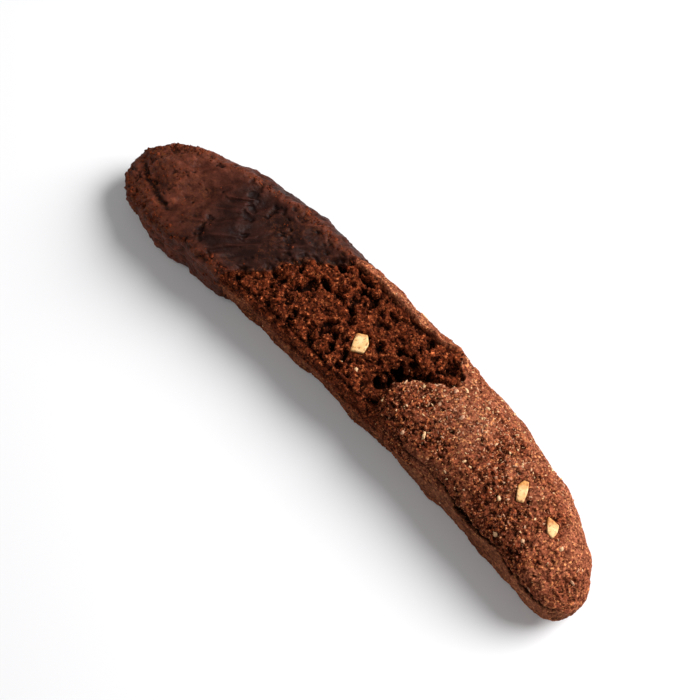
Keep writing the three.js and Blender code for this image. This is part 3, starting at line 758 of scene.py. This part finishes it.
chocolate_finish, tree, shader, where = new_finish("set dark chocolate", 0.5, 0.08)
clouds = grain(tree, where, 2.6, 5, 0.7)
# Darker in the middle for the thicker coat and as painted shade, lighter towards the tip as painted light.
thick_and_shaded = colours(tree, clouds, *THICK_AND_SHADED_STOPS)
thin_and_lit = colours(tree, clouds, *THIN_AND_LIT_STOPS)
shade = blend(tree, kept(tree, "tipward_painted_light"), thick_and_shaded, thin_and_lit)
# Painted shade in low places and the groove, and a painted highlight on crests.
shade = blend(tree, reckon(tree, "MULTIPLY", kept(tree, "low"), 0.85), shade, PAINTED_LOW_SHADE)
shade = blend(tree, 1.0, shade, colours(tree, kept(tree, "high"), *PAINTED_HIGHLIGHT_STOPS), "MULTIPLY")
specks = spread(tree, grain(tree, where, 0.9, 4, 0.8), 0.50, 0.62, 0.0, 1.0)
caught = reckon(tree, "MULTIPLY", specks, kept(tree, "dust"))
shade = blend(tree, reckon(tree, "MULTIPLY", caught, 0.75), shade, CAUGHT_CRUMB)
crumb_colour, crumb_height = granular(tree, where, CRUMB_GRAIN, 0.0, CRUMB_CREVICE_SHADE, *CRUMB_STOPS)
tree.links.new(blend(tree, kept(tree, "bare"), shade, crumb_colour), shader.inputs["Base Color"])
gloss = spread(tree, grain(tree, where, 1.4, 3), 0.3, 0.7, 0.4, 0.62)
matt = reckon(tree, "MULTIPLY", reckon(tree, "MAXIMUM", kept(tree, "bare"), caught), 0.9)
tree.links.new(reckon(tree, "MAXIMUM", gloss, matt), shader.inputs["Roughness"])
uneven = raised(tree, grain(tree, where, 1.2, 4, 0.6), 0.3, 0.7)
uneven = raised(tree, grain(tree, where, 0.4, 2, 0.5), 0.06, 0.6, uneven)
uneven = raised(tree, caught, 0.1, 0.8, uneven)
uneven = raised(tree, reckon(tree, "MULTIPLY", crumb_height, kept(tree, "bare")), 0.3, 0.8, uneven)
tree.links.new(uneven, shader.inputs["Normal"])
coat.data.materials.append(chocolate_finish)
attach(coat, "root")
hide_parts("chocolate_dip")


# --------------------------------------------------------------------------------------------------
# Chopped nuts. Blanched nuts were chopped into rough four-sided blocks before they went into the dough:
# ivory where the knife went through, toasted golden at the corners and on the skin side. Each has a socket.
BLOCK_RINGS = 34
BLOCK_STEPS = 56
EDGE_POWER = 18
NUT_SEED = 300
SKIN_SIDE = np.array([-0.55, 0.8, -0.1])


def pits(points, size, seed, least, most):
    """How deep a point lies in a drawn round pit: 0 at its edge and outside, 1 at its middle. There is one
    to a lattice cell `size` wide, and its radius is least + (most - least) * draw^2 cells."""
    scaled = points / size
    cell = np.floor(scaled).astype(np.int64)
    ratio = np.full(points.shape[:-1], FAR_OUT)
    for step in itertools.product((-1, 0, 1), repeat=3):
        there = cell + np.array(step)
        middle = there + np.stack([draw_for(there, seed + k) for k in range(3)], axis=-1)
        radius = least + (most - least) * draw_for(there, seed + 3) ** 2
        ratio = np.minimum(ratio, np.linalg.norm(scaled - middle, axis=-1) / radius)
    return np.clip(1 - ratio, 0, 1)


def chopped_block(node, seed):
    """A block with eased edges over the plain block's facets, on a grid of directions: the reach in
    direction d is (sum of (n.d / h)^18)^(-1/18), with n each facet's normal and h its distance. Gives the
    rings with both ends, and the toasting."""
    middle, normals, distances = block_facets(node)
    down = np.linspace(0, np.pi, BLOCK_RINGS)[1:-1, None]
    turn = np.linspace(0, 2 * np.pi, BLOCK_STEPS, endpoint=False)[None]
    body = np.stack([np.cos(down) + 0 * turn, np.sin(down) * np.cos(turn), np.sin(down) * np.sin(turn)], -1)
    solid = []
    for way in (body, np.array([[[1.0, 0, 0]]]), np.array([[[-1.0, 0, 0]]])):
        total = np.sum(np.maximum(0, way @ normals.T / distances) ** EDGE_POWER, -1)
        solid.append((total ** (-1 / EDGE_POWER))[..., None] * way)
    skin_side = 0.35 * np.random.default_rng(seed).normal(size=3) + SKIN_SIDE
    skin_side /= np.linalg.norm(skin_side)
    radius = np.linalg.norm(solid[0], axis=-1)
    along = solid[0] @ skin_side
    toasted = 0.95 * eased(-0.45, 0.8, along / along.max())
    toasted = toasted + 0.3 * eased(1.05, 1.35, radius / np.median(radius))
    place = solid[0] + middle
    shaved = 0.05 * lumps(place, 1.1, seed) - 0.04 * pits(place, 0.9, seed + 9, 0.1, 0.5)
    solid[0] = solid[0] + shaved[..., None] * body
    return [middle + part for part in solid], toasted


IVORY_STOPS = ((0.35, 0.77, 0.43, 0.155), (0.65, 0.90, 0.61, 0.30))
TOAST_STOPS = ((0.35, 0.42, 0.135, 0.027), (0.65, 0.74, 0.33, 0.09))
STAIN = (0.30, 0.10, 0.028, 1)

nut_finish, tree, shader, where = new_finish("chopped toasted nut", 0.6, 0.35)
ivory = colours(tree, grain(tree, where, 1.1, 3), *IVORY_STOPS)
toast = colours(tree, grain(tree, where, 0.7, 3), *TOAST_STOPS)
mottle = reckon(tree, "MULTIPLY", grain(tree, where, 0.8, 3), 0.45)
edge = reckon(tree, "ADD", kept(tree, "toasted"), mottle)
flesh = blend(tree, spread(tree, edge, 0.35, 1.0, 0.0, 1.0), ivory, toast)
stains = spread(tree, grain(tree, where, 0.6, 3, 0.6), 0.54, 0.66, 0.0, 0.75)
tree.links.new(blend(tree, stains, flesh, STAIN), shader.inputs["Base Color"])
shader.inputs["Subsurface Weight"].default_value = 0.12
shader.inputs["Subsurface Radius"].default_value = (0.002, 0.0012, 0.0006)
tree.links.new(raised(tree, grain(tree, where, 0.4, 3), 0.1, 0.6), shader.inputs["Normal"])

for number, node in enumerate(sorted(NUTS)):
    (body, near_end, far_end), toasted = chopped_block(node, NUT_SEED + number)
    chunk_fields = {"toasted": with_tips(toasted[::-1], 0.5, 0.5)}
    chunk = closed_tube(node + "_block", body[::-1], far_end[0, 0], near_end[0, 0], chunk_fields)
    chunk.data.materials.append(nut_finish)
    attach(chunk, "root")
    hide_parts(node)


# --------------------------------------------------------------------------------------------------
# Loose grains. The saw-toothed knife and the break leave crumbs standing on every cut face, the crust is
# gritty all over, and crumbs stick to the chocolate. Each is a small lump of the same baked dough.
GOLDEN = (1 + math.sqrt(5)) / 2
LUMP_CORNERS = np.array([
    np.roll([s, t * GOLDEN, 0], k) for k in range(3) for s in (-1, 1) for t in (-1, 1)
]) / math.hypot(1, GOLDEN)


def lump_faces(corners):
    """An icosahedron's twenty triangles: every three corners an edge apart, turned to face outwards."""
    edge = 2 / math.hypot(1, GOLDEN)
    found = []
    for trio in itertools.combinations(range(len(corners)), 3):
        a, b, c = corners[list(trio)]
        if max(np.linalg.norm(a - b), np.linalg.norm(b - c), np.linalg.norm(c - a)) < edge * 1.01:
            outward = np.dot(np.cross(b - a, c - a), a + b + c) > 0
            found.append(trio if outward else trio[::-1])
    return np.array(found)


LUMP_FACES = lump_faces(LUMP_CORNERS)
LUMP_STRETCH = (0.5, 1.4)
GRAIN_SEED = 2024
random = np.random.default_rng(GRAIN_SEED)


def drawn_places(surface, weight, count):
    """Places on a grid, drawn by weight and area, as row numbers of the flattened grid."""
    along, across = np.gradient(surface, axis=0), np.roll(surface, -1, axis=1) - surface
    share = (weight * np.linalg.norm(np.cross(along, across), axis=-1)).ravel()
    return random.choice(len(share), count, p=share / share.sum())


def strewn(name, surface, places, radii, stretch, sunk, tints):
    """Many small lumps as one mesh: icosahedra with drawn corners, each stretched, turned about three drawn
    axes and sunk into the surface by a share of its radius, somewhere between neighbouring grid points."""
    count, corners = len(radii), len(LUMP_CORNERS)
    ahead = np.diff(surface, axis=0, append=surface[-1:])
    grids = (ahead, np.roll(surface, -1, axis=1) - surface, facing(surface), surface)
    along, across, out, at = [grid.reshape(-1, 3)[places] for grid in grids]
    at = at + along * random.uniform(0, 0.6, (count, 1)) + across * random.uniform(0, 0.6, (count, 1))
    turns = np.linalg.qr(random.normal(size=(count, 3, 3)))[0]
    turns *= np.sign(np.linalg.det(turns))[:, None, None]
    local = LUMP_CORNERS[None] * random.uniform(0.7, 1.15, (count, corners, 1)) * stretch[:, None]
    local = np.einsum("nij,nkj->nki", turns, local) * radii[:, None, None]
    verts = (at - out * (sunk * radii)[:, None])[:, None] + local + MIDDLE_SHIFT
    verts[..., 2] = np.maximum(verts[..., 2], 0)
    faces = LUMP_FACES[None] + corners * np.arange(count)[:, None, None]
    fields = {"tint": np.repeat(tints, corners)}
    return mesh_piece(name, verts.reshape(-1, 3), faces.reshape(-1, 3).tolist(), fields)


def drawn_sizes(count, least, most, law):
    """Radii from least to most millimetres, the small ones commoner: least + (most - least) * draw^law."""
    return least + (most - least) * random.uniform(0, 1, count) ** law


bare_x = dough_points[..., 0] - dip_line(dough_points[..., 1], dough_points[..., 2])
bare_dough = eased(0.3, 2.0, bare_x) * (skin_q > -0.9) * eased(1.15, 1.4, near_nut)
not_hollow = 1 - 0.75 * hollow
upper_half = (dough_points[..., 2] > WAIST_LEVEL + 2).astype(float)
underside = (skin_q < -0.97) * (np.abs(skin_p) < 0.9) * (skin_z < 2) * (skin_x < 68)
underside = underside * eased(0.3, 2.0, bare_x)
gritty = bare_dough * crust * (1 - 0.1 * band) * not_hollow * (0.25 + coarse_share(skin, skin_p))

# Each kind: its name, where it lies, how many, the least and greatest radius with the law of the draw,
# how deep it sinks, and its palest tint.
GRAINS = (
    ("crumb_grains", bare_dough * (1 - crust) * not_hollow, 9900, (0.12, 0.40, 2.0), 0.5, 0.85),
    ("crust_grit", gritty * upper_half, 9900, (0.12, 0.32, 1.8), 0.75, 0.92),
    ("flank_grit", gritty * (1 - upper_half), 4500, (0.12, 0.28, 1.5), 0.8, 0.55),
    ("underside_crumbs", underside * not_hollow, 5000, (0.13, 0.3, 1.3), 0.5, 0.8),
)


MOTTLE_STOPS = ((0.3, 0.55, 0.53, 0.5), (0.7, 1.35, 1.35, 1.35))


def grain_finish(name, *stops):
    """Matt crumb whose shade is the grain's own draw, with a fine mottle."""
    finish, tree, shader, where = new_finish(name, 0.88, 0.1)
    mottled = colours(tree, grain(tree, where, 0.3, 2), *MOTTLE_STOPS)
    shade = blend(tree, 1.0, colours(tree, kept(tree, "tint"), *stops), mottled, "MULTIPLY")
    tree.links.new(shade, shader.inputs["Base Color"])
    tree.links.new(raised(tree, grain(tree, where, 0.18, 2), 0.08, 0.8), shader.inputs["Normal"])
    return finish


def ramp_from(stops, shares):
    """The same colours at other places on the ramp."""
    return [(share, *stop[1:]) for share, stop in zip(shares, stops)]


crumb_finish = grain_finish("loose cocoa crumb", *ramp_from(CRUMB_STOPS, (0.0, 0.35, 0.7, 1.0)))
grit_finish = grain_finish("gritty baked crust", *ramp_from(CRUST_STOPS, (0.0, 0.3, 0.7, 1.0)))
for name, weight, count, sizes, sunk, most_tint in GRAINS:
    radii = drawn_sizes(count, *sizes)
    tints = most_tint * random.uniform(0, 1, count)
    places = drawn_places(dough_points, weight, count)
    shape = random.uniform(*LUMP_STRETCH, (count, 3))
    grains = strewn(name, dough_points, places, radii, shape, sunk, tints)
    grains.data.materials.append(grit_finish if "grit" in name else crumb_finish)
    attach(grains, "root")

STUCK = 2200
stuck_weight = dust * (coat_q > -0.9) * (0.15 + 2.5 * arris + eased(-58, -72, coat_skin[..., 0]))
stuck_places = drawn_places(coat_points, stuck_weight, STUCK)
stuck_radii = drawn_sizes(STUCK, 0.1, 0.5, 2.2)
stuck_shape = random.uniform(*LUMP_STRETCH, (STUCK, 3))
stuck_tints = random.uniform(0.1, 0.7, STUCK)
stuck = strewn("crumbs_on_chocolate", coat_points, stuck_places, stuck_radii, stuck_shape, 0.4, stuck_tints)
stuck.data.materials.append(crumb_finish)
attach(stuck, "root")


# --------------------------------------------------------------------------------------------------
# Nut meal. The finest of the chopped nuts show as pale flat flecks, thickest along the top of the domed
# crust, with a few larger chips among them.
fleck_weight = bare_dough * (1 - 0.8 * band) * (0.006 + 0.025 * crust + middle_belt) * not_hollow
CHIPS = (
    (46.2, -5.9), (51.1, -12.3), (57.3, -9.9), (64.2, -4.5), (43.5, 1.7), (24.8, 1.1), (27.7, 1.0),
    (21.4, 0.8), (30.1, 7.6), (24.6, -7.9), (35.4, -5.6), (20.3, -10.2), (70.6, -7.3), (22.1, 5.5),
    (23.8, 7.3), (2.4, -6.6),
)
FLECKS = 1000
FLECK_SHAPE = ((1.0, 1.9), (0.5, 0.9), (0.35, 0.65))
off_top = np.where(skin_q > 0.8, 0, 1e6)
dough_x, dough_y = dough_points[..., 0], dough_points[..., 1]
chip_places = [np.argmin(np.hypot(dough_x - x, dough_y - y) + off_top) for x, y in CHIPS]
fleck_places = np.concatenate([chip_places, drawn_places(dough_points, fleck_weight, FLECKS)])
fleck_radii = np.concatenate([random.uniform(0.7, 1.05, len(CHIPS)), drawn_sizes(FLECKS, 0.17, 0.58, 2.2)])
COUNT = len(fleck_radii)
fleck_shape = np.stack([random.uniform(*ends, COUNT) for ends in FLECK_SHAPE], -1)
fleck_tints = random.uniform(0, 1, COUNT)
fleck_tints[: len(CHIPS)] = 0.45 + 0.45 * fleck_tints[: len(CHIPS)]
flecks = strewn("nut_meal_flecks", dough_points, fleck_places, fleck_radii, fleck_shape, 0.4, fleck_tints)
MEAL_STOPS = ((0.0, 0.46, 0.17, 0.08), (0.5, 0.54, 0.29, 0.18), (1.0, 0.84, 0.55, 0.28))
flecks.data.materials.append(grain_finish("nut meal", *MEAL_STOPS))
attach(flecks, "root")


# --------------------------------------------------------------------------------------------------
# The table, the light and the camera. A plain white sheet, one soft lamp to the right and behind, a wide
# weak one opposite, and pale surroundings. The camera looks steeply down across the slice.
AZIMUTH = math.radians(45.5)
ELEVATION = math.radians(68)
BACK = np.array([
    math.sin(AZIMUTH) * math.cos(ELEVATION),
    -math.cos(AZIMUTH) * math.cos(ELEVATION),
    math.sin(ELEVATION),
])
RIGHT = np.array([math.cos(AZIMUTH), math.sin(AZIMUTH), 0])
UP = np.cross(BACK, RIGHT)
AWAY = np.array([-math.sin(AZIMUTH), math.cos(AZIMUTH), 0])

# Each lamp: its name, direction, distance and width in metres, and power in watts.
LAMPS = (
    ("window_lamp", 0.9 * RIGHT + 0.25 * AWAY + [0, 0, 0.75], 0.7, 0.56, 9.3),
    ("fill_lamp", -0.8 * RIGHT - 0.2 * AWAY + [0, 0, 1.2], 1.2, 1.0, 2.6),
)


def aimed(thing, place, toward):
    """Puts a lamp or camera at a place, in metres, looking at a point."""
    thing.location = place
    thing.rotation_mode = "QUATERNION"
    thing.rotation_quaternion = (Vector(toward) - Vector(place)).to_track_quat("-Z", "Y")
    bpy.context.scene.collection.objects.link(thing)


SHEET_REACH = 3
corners = [(a * SHEET_REACH, b * SHEET_REACH, 0) for a, b in ((-1, -1), (1, -1), (1, 1), (-1, 1))]
sheet = bpy.data.meshes.new("table_sheet")
sheet.from_pydata(corners, [], [(0, 1, 2, 3)])
table_sheet = bpy.data.objects.new("table_sheet", sheet)
bpy.context.scene.collection.objects.link(table_sheet)
sheet_finish, _, shader, _ = new_finish("white sheet", 0.7, 0.3)
shader.inputs["Base Color"].default_value = (0.84, 0.84, 0.85, 1)
sheet.materials.append(sheet_finish)

for name, direction, distance, width, power in LAMPS:
    lamp = bpy.data.lights.new(name, "AREA")
    lamp.shape = "DISK"
    lamp.size = width
    lamp.energy = power
    place = direction / np.linalg.norm(direction) * distance
    aimed(bpy.data.objects.new(name, lamp), place.tolist(), (0, 0, 0.008))

surroundings = bpy.data.worlds.new("pale_room")
surroundings.use_nodes = True
backdrop = surroundings.node_tree.nodes["Background"]
backdrop.inputs["Color"].default_value = (1, 1, 1, 1)
backdrop.inputs["Strength"].default_value = 0.22
bpy.context.scene.world = surroundings
bpy.context.scene.view_settings.view_transform = "Standard"

# The camera shows TARGET_POINT, in millimetres, at TARGET_PIXEL, counted from the upper left corner.
PICTURE_SIZE = 700
PIXELS_PER_MM = 4.35
TARGET_PIXEL = (369, 386)
TARGET_POINT = np.array([6.2, -6.25, 8.25])
LENS_LENGTH = 100
SENSOR_WIDTH = 36
LENS_RATIO = LENS_LENGTH / SENSOR_WIDTH

lens = bpy.data.cameras.new("camera")
lens.lens = LENS_LENGTH
lens.sensor_width = SENSOR_WIDTH
camera = bpy.data.objects.new("camera", lens)
aside, below = [pixel - PICTURE_SIZE / 2 for pixel in TARGET_PIXEL]
aim = TARGET_POINT - RIGHT * aside / PIXELS_PER_MM + UP * below / PIXELS_PER_MM
stand = aim + BACK * PICTURE_SIZE * LENS_RATIO / PIXELS_PER_MM
aimed(camera, (stand * MILLIMETRE).tolist(), (aim * MILLIMETRE).tolist())
bpy.context.scene.camera = camera
